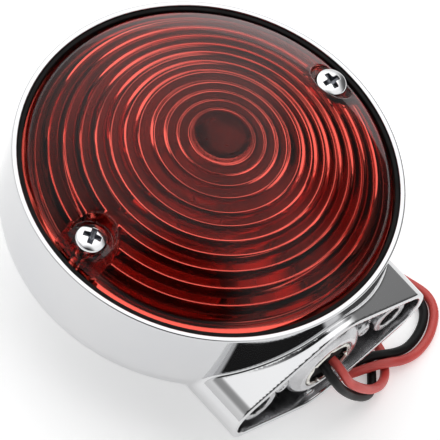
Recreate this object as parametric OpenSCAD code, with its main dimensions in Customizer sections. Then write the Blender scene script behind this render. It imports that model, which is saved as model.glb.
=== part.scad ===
// Round tail light on a two-screw pedestal foot: a chrome die-cast housing with the pedestal in one piece,
// a red domed lens held by two screws, and a twin-filament bayonet bulb whose socket sits in the foot.
// The lamp lies on its back with the lens up: +Z is the lens axis, the foot looks along -Y.
// The origin is on the lens axis, on the flat of the back.

/* [Housing] */
// Height of the chrome lip above the back flat
lip_z = 40; // [39:0.5:42]
// Outer radius of the housing's side wall
side_r = 42.5; // [42.5:0.1:43]
// Thickness of the side wall and the back
wall = 2.4; // [2.2:0.1:2.6]
// Radius of the flat that the back rests on
back_flat_r = 17; // [15:0.5:18]
// Radius of the rounded edge between the side wall and the back cone
edge_r = 10; // [8:0.5:11]
// Angle through which that edge turns before the back cone starts
edge_turn = 55; // [50:1:60]

/* [Pedestal foot] */
// Distance of the foot's rim from the lens axis
foot_y = 45; // [44.5:0.1:46]
// Height of the foot's centre above the back flat
foot_z = 20.2; // [20:0.1:20.8]
// Radius of the rounded tips of the foot
tip_r = 6.4; // [6:0.1:6.8]
// Distance from the middle of the foot to each tip's centre
tip_x = 21.5; // [21:0.1:22]
// Radius of the rounded front and back corners of the foot
crest_r = 11.9; // [11:0.1:12]
// Height of each corner's centre above or below the middle of the foot
crest_z = 3.5; // [3:0.1:3.6]
// Wall thickness of the hollow foot
foot_wall = 1.5; // [1.2:0.1:1.8]
// Spacing of the two mounting holes
mount_spacing = 38.1; // [37.5:0.1:38.5]
// Tapping radius of the mounting holes
mount_hole_r = 2.6; // [2.4:0.1:2.8]
// Depth of the bosses' faces behind the rim
boss_recess = 1.3; // [1:0.1:1.6]

/* [Lens] */
// Radius of the lens's dome
dome_r = 65; // [62:1:68]
// Height of the dome's top above the lip
dome_rise = 13.9; // [13.5:0.1:14.5]
// Outer radius of the lens
lens_r = 40.1; // [39.9:0.1:40.3]
// Thickness of the lens
lens_wall = 2.2; // [2:0.1:2.5]
// Distance of each lens screw from the lens axis
screw_x = 34.4; // [34.2:0.1:34.6]
// Radius of the round pocket that each screw head sits in
pocket_r = 4.9; // [4.6:0.1:5.1]

/* [Bulb and socket] */
// Radius of the bulb's glass globe
globe_r = 13.2; // [12.7:0.1:13.3]
// Radius of the bulb's metal cap
cap_r = 7.6; // [7.5:0.05:7.65]
// Travel of the sprung contacts when the bulb is pushed in
push_travel = 2; // [1.5:0.1:2.2]
// Turn that locks the bulb in its slots, in degrees
lock_turn = 20; // [15:1:22]

/* [Leads] */
// Outer radius of a lead
lead_r = 1.05; // [1:0.01:1.1]

/* [Hidden] */

curve_fn = 96;
edge_steps = 8;
eps = 0.02;

// Housing levels
ledge_z = lip_z - 3.5;
ledge_r = 37.5;
gasket_r = 41.25;
gasket_in = 39.3;
edge_c = [side_r - edge_r, lip_z - 16];
screw_boss_r = 3;
screw_boss_z = 15.6;
screw_boss_top = ledge_z + 0.7;
mount_boss_r = 4.4;
mount_face = foot_y - boss_recess;

// Boss of the socket: a rounded front with the hole that the crimped ring shows in
socket_boss_r = 10.2;
boss_round = 3.2;
boss_front = foot_y - 0.4;
front_hole_r = 6.3;

// Low webs between the bosses, and a round pad with a dimple on each side web
web_x = 11.9;
web_long = 6;
web_thick = 1.6;
web_top = 41.8;
crest_web_top = 43;
crest_web_z = [9.3, 14.1];
pad_r = 2.2;
pad_top = 43.2;
dimple_r = 0.7;

// Lens levels
flange_z = ledge_z + 1;
dome_top = lip_z + dome_rise;
dome_c = dome_top - dome_r;
shoulder_r = 2;
pocket_z = lip_z + 2.2;
post_r = 6;
head_r = 3.5;
head_h = 2.2;
shank_r = 1.75;
ring_edges = [6.8, 9.1, 11.6, 14.2, 17.3, 20, 22.9, 25.7, 28.6, 31.7, 34.7];
ring_step = 0.5;

// Socket and bulb, measured along -Y from the lens axis
socket_r = 8.15;
socket_wall = 0.4;
socket_mouth = 17;
bore_start = 28;
socket_end = 42.9;
grommet_front = 41;
grommet_neck_r = 5.2;
ring_in = 5.3;
ring_out = 6.2;
ring_front = foot_y - 0.2;
carrier_back = 35.9;
carrier_front = 33.4;
cap_back = 32;
cap_front = 16.5;
globe_y = 4.6;
pin_r = 1;
pin_reach = 8.6;
pin_y = [25.5, 22.5];
slot_gap = 0.15;
slot_end = 9;
contact_x = 3.6;

// Bulb stem, its support wires and the two filaments across it
stem_r = 2.6;
support_r = 0.25;
support_x = 1.4;
support_y = -12;
filament_x = 2.8;
filament_r = 0.35;
filament_long = 3.8;

// Two leads, side by side in the grommet: middle of each hole
red_hole = [2.4, foot_z - 1.6];
black_hole = [-0.5, foot_z - 1];
lead_hole_r = lead_r + 0.07;

// Coil of the spare lead behind the lamp
coil_c = [46.7, 16];
coil_in = 9;
coil_out = 13.7;
coil_low = 0.6;
coil_high = 6.8;
tie_gap = 0.1;
tie_thick = 0.5;
tie_wide = 2.6;

// Route of each lead from the grommet to the coil: a small loop, a hidden turn under the foot,
// a big loop round the foot's tip, and along the floor behind the housing
RED_ROUTE = [
    [2.4, -41.2, 18.6], [2.4, -43.4, 18.6], [2.5, -44.9, 18.4], [2.7, -46.2, 17.8], [3.2, -47.5, 16.5],
    [4.4, -48.7, 14], [6.3, -49.7, 11.8], [8.9, -50.3, 9], [12, -50.5, 6], [15.2, -50.2, 3.7],
    [18, -49.2, 2], [20, -47.8, 1.2], [21.4, -46, 1.1], [22.8, -43.9, 1.1], [23.4, -41, 1.1],
    [22.8, -36.8, 1.1], [20.4, -33.2, 1.1], [16.4, -31.6, 1.1], [12.3, -32.4, 1.1], [9.2, -35.2, 1.1],
    [8.6, -39.3, 1.2], [10.2, -42.5, 1.9], [13.1, -44.2, 2.8], [16, -45.2, 3.3], [18.6, -46.1, 3.5],
    [21.4, -47.2, 3.4], [24.4, -48, 2.4], [27.8, -48.3, 1.5], [31, -47.9, 1.1], [34.2, -46.9, 1.1],
    [37, -45.3, 1.1], [39.2, -43.5, 1.1], [40.6, -41.6, 1.1], [41.3, -39.5, 1.1], [41.2, -37.2, 1.1],
    [39.9, -33, 1.1], [37.9, -26.8, 1.1], [36.7, -19, 1.1], [36.3, -8, 1.1], [36.5, 8, 1.1]
];
BLACK_ROUTE = [
    [-0.5, -41.2, 19.2], [-0.5, -43.2, 19.2], [-0.5, -44.8, 18.9], [-0.3, -46.2, 18.1], [0.4, -47.5, 16.6],
    [2.2, -48.6, 13.4], [5, -49.3, 9.5], [7.8, -49.8, 6.2], [10.6, -50.1, 3.6], [13, -49.8, 1.9],
    [15, -48.8, 1.2], [16.7, -47.1, 1.1], [18.4, -45, 1.1], [19.9, -42.4, 1.1], [20.6, -39.4, 1.1],
    [19.6, -36, 1.1], [16.4, -33.9, 1.1], [13.3, -34.4, 1.1], [11, -38.2, 1.1], [11.7, -40.7, 1.8],
    [14.4, -42.4, 2.8], [16.7, -43, 3.3], [19.2, -43.8, 3.5], [21.9, -45, 3.4], [24.8, -45.8, 2.5],
    [28.1, -46, 1.5], [31.4, -45.4, 1.1], [34.4, -44.2, 1.1], [36.8, -42.6, 1.1], [38.4, -40.7, 1.1],
    [39, -38.6, 1.1], [38.4, -36.1, 1.1], [35.9, -28, 1.1], [34.5, -19, 1.1], [34.1, -8, 1.1],
    [34.3, 9, 1.1]
];
// Tail of each lead from the coil to its terminal
RED_TAIL = [
    [36.6, 21, 5.6], [36.5, 25, 5.2], [36.2, 28, 3.6], [35.9, 31, 2.1], [35.6, 33, 2]
];
BLACK_TAIL = [
    [34.2, 21, 5.6], [33.6, 25, 3.6], [32.4, 29, 2], [31.2, 32, 2]
];
red_terminal_at = [35.6, 33, 2];
red_terminal_turn = 8;
black_terminal_at = [31.2, 32, 2];
black_terminal_turn = 22;

// Points of an arc about c from angle a to angle b
function arc(c, r, a, b, n = edge_steps) =
    [for (i = [0:n]) let (t = a + (b - a) * i / n) [c[0] + r * cos(t), c[1] + r * sin(t)]];

// Outward normal of the straight flank between a tip's circle and a crest's circle
function flank_normal() =
    let (
        d = [-tip_x, crest_z],
        l = norm(d),
        u = d / l,
        s = (tip_r - crest_r) / l,
        k = sqrt(1 - s * s)
    ) [u[0] * s + u[1] * k, u[1] * s - u[0] * k];

// Distance of each filament from the lens axis
function filament_y(s) = 1 + 1.2 * s;

// Unit vector, and the ring of points round a lead at route point i
function unit(v) = v / norm(v);
function tangent(p, i) = unit(p[min(i + 1, len(p) - 1)] - p[max(i - 1, 0)]);
function ring(p, i, r, n) =
    let (t = tangent(p, i), s = unit(cross(t, [0, 0, 1])), u = cross(s, t))
    [for (k = [0:n - 1]) let (a = 360 * k / n) p[i] + r * (cos(a) * s + sin(a) * u)];

// Height of the lens's outer and inner dome at distance r from the lens axis
function dome(r) = dome_c + sqrt(dome_r * dome_r - r * r);
function inner_dome(r) = dome_c + sqrt(pow(dome_r - lens_wall, 2) - r * r);

// One closed tube swept along the points of p
module tube(p, r, n = 8) {
    m = len(p);
    points = [for (i = [0:m - 1]) each ring(p, i, r, n)];
    sides = [
        for (i = [0:m - 2]) for (k = [0:n - 1]) let (a = i * n + k, b = i * n + (k + 1) % n)
            each [[a, b, b + n], [a, b + n, a + n]]
    ];
    caps = [[for (k = [0:n - 1]) n - 1 - k], [for (k = [0:n - 1]) (m - 1) * n + k]];
    polyhedron(points, concat(sides, caps));
}

// A cylinder along Y between two distances from the lens axis, on the foot's centre line
module along_foot(r, front, back, x = 0, z = foot_z, fn = curve_fn) {
    translate([x, -front, z]) rotate([90, 0, 0]) cylinder(h = back - front, r = r, $fn = fn);
}

// Rounded diamond outline of the foot, set in by a margin
module foot_outline(inset = 0) {
    n = flank_normal();
    tip = tip_r - inset;
    crest = crest_r - inset;
    low = [tip_x + tip * n[0], tip * n[1]];
    high = [crest * n[0], crest_z + crest * n[1]];
    polygon([
        high, low, [low[0], -low[1]], [high[0], -high[1]],
        [-high[0], -high[1]], [-low[0], -low[1]], [-low[0], low[1]], [-high[0], high[1]]
    ]);
    for (s = [-1, 1]) {
        translate([s * tip_x, 0]) circle(r = tip, $fn = curve_fn);
        translate([0, s * crest_z]) circle(r = crest, $fn = curve_fn);
    }
}

module foot_prism(inset, front, back) {
    translate([0, -front, foot_z]) rotate([90, 0, 0]) linear_extrude(back - front) foot_outline(inset);
}

// Outside of the housing without its foot
module housing_body() {
    c = edge_c;
    turn = [c[0] + edge_r * cos(edge_turn), c[1] - edge_r * sin(edge_turn)];
    rotate_extrude($fn = curve_fn) polygon(concat(
        [[0, 0], [back_flat_r, 0]],
        [turn],
        arc(c, edge_r, -edge_turn, 0),
        [[side_r, lip_z - 0.4], [side_r - 0.4, lip_z], [0, lip_z]]
    ));
}

// The lamp chamber, its ledge for the gasket and the rebate inside the lip
module chamber() {
    c = edge_c;
    r = edge_r - wall;
    turn = [c[0] + r * cos(edge_turn), c[1] - r * sin(edge_turn)];
    floor_z = wall - 0.2;
    floor_r = turn[0] - (turn[1] - floor_z) * tan(edge_turn);
    rotate_extrude($fn = curve_fn) polygon(concat(
        [[0, floor_z], [floor_r, floor_z]],
        arc(c, r, -edge_turn, 0),
        [[side_r - wall, ledge_z - 4.5], [ledge_r, ledge_z - 1.9], [ledge_r, ledge_z],
         [gasket_r, ledge_z], [gasket_r, lip_z + 1], [0, lip_z + 1]]
    ));
}

// Boss that carries the bulb's socket, its front edge rounded
module socket_boss() {
    translate([0, 0, foot_z]) rotate([90, 0, 0]) rotate_extrude($fn = curve_fn) polygon(concat(
        [[0, 33], [socket_boss_r, 33]],
        arc([socket_boss_r - boss_round, boss_front - boss_round], boss_round, 0, 90),
        [[0, boss_front]]
    ));
}

module housing() {
    color("silver") difference() {
        union() {
            difference() {
                union() {
                    housing_body();
                    foot_prism(0, 15, foot_y);
                }
                chamber();
                difference() {
                    foot_prism(foot_wall, 15, foot_y + 1);
                    housing_body();
                }
            }
            socket_boss();
            for (s = [-1, 1]) {
                along_foot(mount_boss_r, 31, mount_face, s * mount_spacing / 2);
                translate([s * screw_x, 0, screw_boss_z])
                    cylinder(h = screw_boss_top - screw_boss_z, r = screw_boss_r, $fn = 48);
                translate([s * web_x - web_long / 2, -web_top, foot_z - web_thick / 2])
                    cube([web_long, 6, web_thick]);
                along_foot(pad_r, 34, pad_top, s * web_x, foot_z, 48);
                low = foot_z + (s > 0 ? crest_web_z[0] : -crest_web_z[1]);
                translate([-web_thick / 2, -crest_web_top, low])
                    cube([web_thick, 6, crest_web_z[1] - crest_web_z[0]]);
            }
        }
        along_foot(socket_r + 0.05, bore_start, socket_end + 0.05);
        along_foot(front_hole_r, 40, foot_y + 1);
        for (s = [-1, 1]) {
            along_foot(mount_hole_r, 33.2, foot_y, s * mount_spacing / 2, foot_z, 48);
            along_foot(dimple_r, pad_top - 0.6, foot_y, s * web_x, foot_z, 32);
            translate([s * screw_x, 0, 20]) cylinder(h = 20, r = shank_r + 0.05, $fn = 48);
        }
    }
}

// Pan head with a cross recess, on a plain shank
module lens_screw(side) {
    color("gainsboro") translate([side * screw_x, 0, 0]) {
        difference() {
            rotate_extrude($fn = 64) polygon(concat(
                [[0, pocket_z], [head_r, pocket_z]],
                arc([head_r - 1.3, pocket_z + 0.9], 1.3, 0, 90),
                [[0, pocket_z + head_h]]
            ));
            for (a = [45, 135]) rotate(a) translate([-2, -0.4, pocket_z + head_h - 1.3]) cube([4, 0.8, 2]);
        }
        translate([0, 0, 22]) cylinder(h = pocket_z - 22 + eps, r = shank_r, $fn = 48);
    }
}
module lens_screw_left() { lens_screw(-1); }
module lens_screw_right() { lens_screw(1); }

// Red dome with prism rings inside, a rounded shoulder, and a post under each screw
module lens() {
    shoulder = [lens_r - shoulder_r, dome(lens_r - shoulder_r) - shoulder_r];
    color("red") difference() {
        union() {
            rotate_extrude($fn = curve_fn) polygon(concat(
                [[0, dome(0)]],
                [for (i = [1:14]) let (r = (lens_r - shoulder_r) * i / 14) [r, dome(r)]],
                arc(shoulder, shoulder_r, 60, 0, 5),
                [[lens_r, flange_z], [ledge_r - 1, flange_z], [ledge_r - 1, inner_dome(ledge_r - 1)]],
                [for (i = [len(ring_edges) - 1:-1:0]) let (r = ring_edges[i])
                    each [[r, inner_dome(r)], [r, inner_dome(r) - ring_step]]],
                [[0, inner_dome(0) - ring_step]]
            ));
            for (s = [-1, 1]) intersection() {
                translate([s * screw_x, 0, flange_z]) cylinder(h = 20, r = post_r, $fn = 64);
                rotate_extrude($fn = curve_fn) polygon(concat(
                    [[0, flange_z]],
                    [[ledge_r, flange_z], [ledge_r, dome(ledge_r) - 0.6]],
                    [for (i = [10:-1:0]) let (r = ledge_r * i / 10) [r, dome(r) - 0.6]]
                ));
            }
        }
        for (s = [-1, 1]) translate([s * screw_x, 0, 0]) {
            translate([0, 0, pocket_z]) cylinder(h = 20, r = pocket_r, $fn = 64);
            cylinder(h = 60, r = shank_r + 0.2, $fn = 48);
        }
    }
}

// Rubber ring under the lens, with a lip that stands between the lens and the housing
module lens_gasket() {
    color("black") rotate_extrude($fn = curve_fn) polygon([
        [gasket_in, ledge_z], [gasket_r - 0.03, ledge_z], [gasket_r - 0.03, lip_z - 0.3],
        [lens_r + 0.1, lip_z - 0.3], [lens_r + 0.1, flange_z], [gasket_in, flange_z]
    ]);
}

// Thin tube with two L-shaped slots for the bulb's pins
module socket_shell() {
    color("khaki") difference() {
        along_foot(socket_r, socket_mouth, socket_end);
        along_foot(socket_r - socket_wall, socket_mouth - 1, socket_end + 1);
        translate([0, 0, foot_z]) rotate([90, 0, 0]) for (s = [0, 1]) {
            low = pin_y[s] - pin_r - slot_gap;
            high = pin_y[s] + push_travel + pin_r + slot_gap;
            rotate(180 * s + lock_turn) translate([0, -pin_r - slot_gap, socket_mouth - 1])
                cube([pin_reach + 1, 2 * pin_r + 2 * slot_gap, (low + high) / 2 - socket_mouth + 1]);
            rotate(180 * s - slot_end) rotate_extrude(angle = lock_turn + 2 * slot_end, $fn = curve_fn)
                translate([socket_r - 2, low]) square([4, high - low]);
        }
    }
}

// Flared ring that holds the plug in the boss's front hole
module socket_ring() {
    color("silver") translate([0, 0, foot_z]) rotate([90, 0, 0]) rotate_extrude($fn = 64)
        polygon([
            [ring_in, socket_end + 0.05], [ring_out, socket_end + 0.05], [ring_out, ring_front - 0.4],
            [ring_out - 0.4, ring_front], [ring_in, ring_front - 0.2]
        ]);
}

// Rubber plug that both leads pass through
module socket_grommet() {
    color("dimgray") difference() {
        union() {
            along_foot(socket_r - socket_wall - 0.05, grommet_front, socket_end);
            along_foot(grommet_neck_r, grommet_front, ring_front - 0.3);
        }
        for (h = [red_hole, black_hole]) along_foot(lead_hole_r, 40, 46, h[0], h[1], 32);
    }
}

// Coil spring between the grommet and the contact carrier
module socket_spring() {
    turns = 3.5;
    steps = 12;
    wire_r = 0.35;
    coil = 6.2;
    y0 = grommet_front - wire_r - 0.05;
    y1 = carrier_back + wire_r + 0.05;
    color("gray") tube([
        for (i = [0:turns * steps]) let (a = 360 * i / steps, t = i / (turns * steps))
            [coil * cos(a), -y0 + (y0 - y1) * t, foot_z + coil * sin(a)]
    ], wire_r, 6);
}

// Fibre disc that carries the two contacts and slides in the socket
module contact_carrier() {
    color("saddlebrown") difference() {
        along_foot(socket_r - socket_wall - 0.08, carrier_front, carrier_back);
        for (s = [-1, 1]) along_foot(1.1, 30, 40, s * contact_x, foot_z, 32);
    }
}

module contact_plungers() {
    color("gold") for (s = [-1, 1]) {
        along_foot(1.1, carrier_front - eps, carrier_back, s * contact_x, foot_z, 32);
        along_foot(1.7, cap_back + 1.05, carrier_front, s * contact_x, foot_z, 32);
    }
}

// Short leads between the plungers and the grommet, which flex as the contacts move
module inner_leads() {
    color("firebrick") for (s = [-1, 1])
        along_foot(0.9, carrier_back + 0.05, grommet_front - 0.05, s * 2.4, foot_z - s * 0.6, 24);
}

// Bulb glass: a globe on a neck that stands in the cap
module bulb_glass() {
    neck = 6.8;
    neck_a = asin(neck / globe_r);
    color("white", 0.4) translate([0, 0, foot_z]) rotate([90, 0, 0]) rotate_extrude($fn = 64)
        polygon(concat(
            arc([0, -globe_y], globe_r, -90, 90 - neck_a, 18),
            [[neck, cap_front + 2], [neck - 0.8, cap_front + 2]],
            arc([0, -globe_y], globe_r - 0.8, 90 - neck_a - 1.5, -90, 18)
        ));
}

module bulb_cap() {
    color("goldenrod") difference() {
        along_foot(cap_r, cap_front, cap_back - 1.2);
        along_foot(cap_r - 0.4, cap_front - 1, cap_back + 1);
        for (s = [0, 1]) cap_pin(s, pin_r + 0.03);
    }
}

// One pin of the bulb's cap, or with more radius the hole that it stands in
module cap_pin(s, r) {
    foot = cap_r - 0.35 - (r - pin_r);
    translate([0, -pin_y[s], foot_z]) rotate([0, 180 * s, 0]) translate([foot, 0, 0])
        rotate([0, 90, 0]) cylinder(h = pin_reach - foot, r = r, $fn = 32);
}

module bulb_pins() {
    color("goldenrod") for (s = [0, 1]) cap_pin(s, pin_r);
}

// Dark glass disc that closes the cap
module bulb_insulator() {
    color("black") along_foot(cap_r - 0.45, cap_back - 2.4, cap_back);
}

module bulb_contacts() {
    color("lightgray") for (s = [-1, 1])
        along_foot(1.6, cap_back, cap_back + 1, s * contact_x, foot_z, 32);
}

// Glass stem with the four support wires, which end just short of the filaments
module bulb_stem() {
    color("lightblue") union() {
        along_foot(stem_r, 9, cap_front + 3, 0, foot_z, 48);
        for (s = [-1, 1]) for (e = [-1, 1]) {
            foot_x = (s * filament_x + e * support_x) / 2.4;
            run = [s * filament_x + e * support_x - foot_x, filament_y(s) - filament_r - 0.12 - support_y];
            translate([foot_x, support_y, foot_z]) rotate([-90, 0, -atan2(run[0], run[1])])
                cylinder(h = norm(run), r = support_r, $fn = 16);
        }
    }
}

module bulb_filaments() {
    color("dimgray") for (s = [-1, 1])
        translate([s * filament_x - filament_long / 2, filament_y(s), foot_z]) rotate([0, 90, 0])
            cylinder(h = filament_long, r = filament_r, $fn = 24);
}

module red_wire() {
    color("firebrick") {
        tube(RED_ROUTE, lead_r);
        tube(RED_TAIL, lead_r);
    }
}

module black_wire() {
    color("black") {
        tube(BLACK_ROUTE, lead_r);
        tube(BLACK_TAIL, lead_r);
    }
}

// Outer shape of the coil that both leads make
module lead_coil() {
    color("maroon") translate([coil_c[0], coil_c[1], coil_low]) difference() {
        cylinder(h = coil_high - coil_low, r = coil_out, $fn = 64);
        translate([0, 0, -1]) cylinder(h = 10, r = coil_in, $fn = 64);
    }
}

// Crimped bullet terminal, pointing away from its lead
module terminal(at, turn) {
    color("gold") translate(at) rotate([-90, 0, turn]) {
        cylinder(h = 5, r = 1.5, $fn = 32);
        translate([0, 0, 5]) cylinder(h = 1.2, r = 1.9, $fn = 32);
        translate([0, 0, 6.2]) cylinder(h = 5.2, r = 1.6, $fn = 32);
        translate([0, 0, 11.4]) sphere(r = 1.6, $fn = 32);
    }
}
module red_terminal() { terminal(red_terminal_at, red_terminal_turn); }
module black_terminal() { terminal(black_terminal_at, black_terminal_turn); }

// Nylon strap round the coil, with its head on the outside
module cable_tie() {
    mid = (coil_in + coil_out) / 2;
    half = (coil_out - coil_in) / 2 + tie_gap;
    high = coil_high + tie_gap;
    color("whitesmoke") translate([coil_c[0] + mid, coil_c[1] - tie_wide / 2, 0]) {
        difference() {
            translate([-half - tie_thick, 0, 0]) cube([2 * half + 2 * tie_thick, tie_wide, high + tie_thick]);
            translate([-half, -1, tie_thick]) cube([2 * half, tie_wide + 2, high - tie_thick]);
        }
        translate([half + tie_thick, -0.7, 2.4]) cube([2.2, 4, 3.4]);
    }
}

housing();
lens();
lens_gasket();
lens_screw_left();
lens_screw_right();
socket_shell();
socket_ring();
socket_grommet();
socket_spring();
contact_carrier();
contact_plungers();
inner_leads();
bulb_glass();
bulb_cap();
bulb_pins();
bulb_insulator();
bulb_contacts();
bulb_stem();
bulb_filaments();
red_wire();
black_wire();
lead_coil();
red_terminal();
black_terminal();
cable_tie();
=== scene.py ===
"""Looks of the round tail light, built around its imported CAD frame.

Shape functions work in millimetres, and a mesh is scaled to metres when it is made. Cast, moulded
and pressed parts are distance functions: net() meshes their zero surface and takes its normals from
the function's gradient, so that polished faces and fillets reflect cleanly. Turned parts come from
lathe(), and leads, wires and the spring from tube_mesh().
"""
import math

import bmesh
import bpy
import numpy as np
from mathutils import Matrix, Vector


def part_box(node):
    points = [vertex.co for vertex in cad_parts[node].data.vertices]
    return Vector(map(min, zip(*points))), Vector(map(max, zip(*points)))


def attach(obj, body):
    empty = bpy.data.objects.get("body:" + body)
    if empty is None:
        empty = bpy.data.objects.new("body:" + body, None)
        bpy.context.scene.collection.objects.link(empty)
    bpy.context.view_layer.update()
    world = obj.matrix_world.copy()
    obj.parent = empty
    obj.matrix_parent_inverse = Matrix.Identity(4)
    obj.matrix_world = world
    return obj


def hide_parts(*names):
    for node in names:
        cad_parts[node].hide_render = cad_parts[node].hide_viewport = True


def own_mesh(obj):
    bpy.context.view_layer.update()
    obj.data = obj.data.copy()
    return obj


MM = 0.001
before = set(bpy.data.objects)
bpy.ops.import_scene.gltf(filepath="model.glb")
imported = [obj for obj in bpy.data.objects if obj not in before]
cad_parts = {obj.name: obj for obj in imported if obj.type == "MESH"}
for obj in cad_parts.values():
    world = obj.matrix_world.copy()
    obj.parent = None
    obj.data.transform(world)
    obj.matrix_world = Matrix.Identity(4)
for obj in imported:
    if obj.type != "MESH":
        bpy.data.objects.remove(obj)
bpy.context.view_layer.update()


def top(node, axis):
    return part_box(node)[1][axis] / MM


def bottom(node, axis):
    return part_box(node)[0][axis] / MM


# ---------------------------------------------------------------- sizes, in mm, as in the CAD model
LIP_Z = top("housing", 2)
SIDE_R = top("housing", 0)
FOOT_Y = -bottom("housing", 1)
LENS_R = top("lens", 0)
DOME_TOP = top("lens", 2)
WALL = 2.4
EDGE_R = 10
EDGE_AT = (SIDE_R - EDGE_R, LIP_Z - 16)
BACK_FLAT_R = 17
LEDGE_Z = LIP_Z - 3.5
LEDGE_R = 37.5
GASKET_R = 41.25
GASKET_IN = 39.3
SCREW_BOSS_R = 3
PILOT_R = 1.8
PILOT_END_Z = 20
FOOT_Z = 20.2
TIP_R = 6.4
TIP_X = 21.5
CREST_R = 11.9
CREST_Z = 3.5
FOOT_WALL = 1.5
MOUNT_X = 19.05
MOUNT_HOLE_R = 2.6
MOUNT_BOSS_R = 4.4
MOUNT_FACE = FOOT_Y - 1.3
BOSS_R = 10.2
BOSS_FRONT = FOOT_Y - 0.4
FRONT_HOLE_R = 6.3
SOCKET_END = 42.9
RING_FRONT = FOOT_Y - 0.2
PAD_X = 11.9
PAD_R = 2.2
PAD_TOP = 43.2
BOSS_ROUND = 3.2
BORE_START = 28
GROMMET_FRONT = 41
GROMMET_NECK_R = 5.2
LEAD_HOLE_R = 1.12
DOME_R = 65
DOME_C = DOME_TOP - DOME_R
LENS_WALL = 2.2
LENS_HOLE_R = 1.95
SCREW_X = 34.4
POCKET_R = 4.9
HEAD_R = 3.5
POCKET_Z = LIP_Z + 2.2
POST_R = 6
FLANGE_Z = LEDGE_Z + 1
RING_EDGES = [6.8, 9.1, 11.6, 14.2, 17.3, 20, 22.9, 25.7, 28.6, 31.7, 34.7]
SOCKET_R = 8.15
LEAD_R = 1.05
LEAD_HOLES = ((2.4, FOOT_Z - 1.6), (-0.5, FOOT_Z - 1))
COIL_C = (46.7, 16)

# Details that the CAD model draws more plainly: the cone under the lens's ledge, and the coil's turns
CONE_R = 40.1
CONE_Z = 32
LEAD_Z = 1.1
LEAD_LAYER = 2.2
RED_COIL_R = 10.2
BLACK_COIL_R = 12.4
TIE_X = COIL_C[0] + 11.3


# ---------------------------------------------------------------- camera
def make_camera(azimuth=-59.73, elevation=55.81, roll=21.37, focal=368.2, distance=948.8):
    """The main view's camera: angles in degrees, focal length and distance in mm."""
    target = Vector((-3.85, -9.16, 34.6))
    a, e, r = (math.radians(x) for x in (azimuth, elevation, roll))
    back = Vector((math.sin(a) * math.cos(e), -math.cos(a) * math.cos(e), math.sin(e)))
    level = Vector((0, 0, 1)).cross(back).normalized()
    right = level * math.cos(r) + back.cross(level) * math.sin(r)
    camera = bpy.data.objects.new("camera", bpy.data.cameras.new("camera"))
    camera.data.lens = focal
    camera.data.clip_end = 20
    aim = Matrix((right, back.cross(right), back)).transposed().to_4x4()
    camera.matrix_world = Matrix.Translation((target + back * distance) * MM) @ aim
    bpy.context.scene.collection.objects.link(camera)
    bpy.context.scene.camera = camera


# ---------------------------------------------------------------- meshes
def add_mesh(name, points, faces, normals=None, sharp=35):
    """A mesh object from points in mm; it is shaded smooth, with edges over sharp degrees kept."""
    mesh = bpy.data.meshes.new(name)
    mesh.from_pydata((np.asarray(points, float) * MM).tolist(), [], [list(map(int, f)) for f in faces])
    mesh.validate()
    mesh.update()
    mesh.shade_smooth()
    if normals is None:
        mesh.set_sharp_from_angle(angle=math.radians(sharp))
    else:
        mesh.normals_split_custom_set_from_vertices(np.asarray(normals, float).tolist())
    made = bpy.data.objects.new(name, mesh)
    bpy.context.scene.collection.objects.link(made)
    return made


def dress(made, body, slot, *stands_for):
    """Puts a piece on its body, gives it its slot's finish and hides the CAD nodes it stands for."""
    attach(made, body)
    made.data.materials.append(FINISH[slot])
    if stands_for:
        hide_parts(*stands_for)
    return made


def middles(points, faces):
    """The x, y and z of the middle of every face."""
    return np.array([points[f].mean(0) for f in faces]).T


def number_faces(made, numbers):
    """Gives each face the number of its material."""
    made.data.polygons.foreach_set("material_index", numbers.astype(np.int32))


def gradient(shape, p, h=0.01):
    g = np.empty_like(p)
    for axis in range(3):
        step = np.zeros(3)
        step[axis] = h
        g[:, axis] = shape(*(p + step).T) - shape(*(p - step).T)
    return g / (2 * h)


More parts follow.
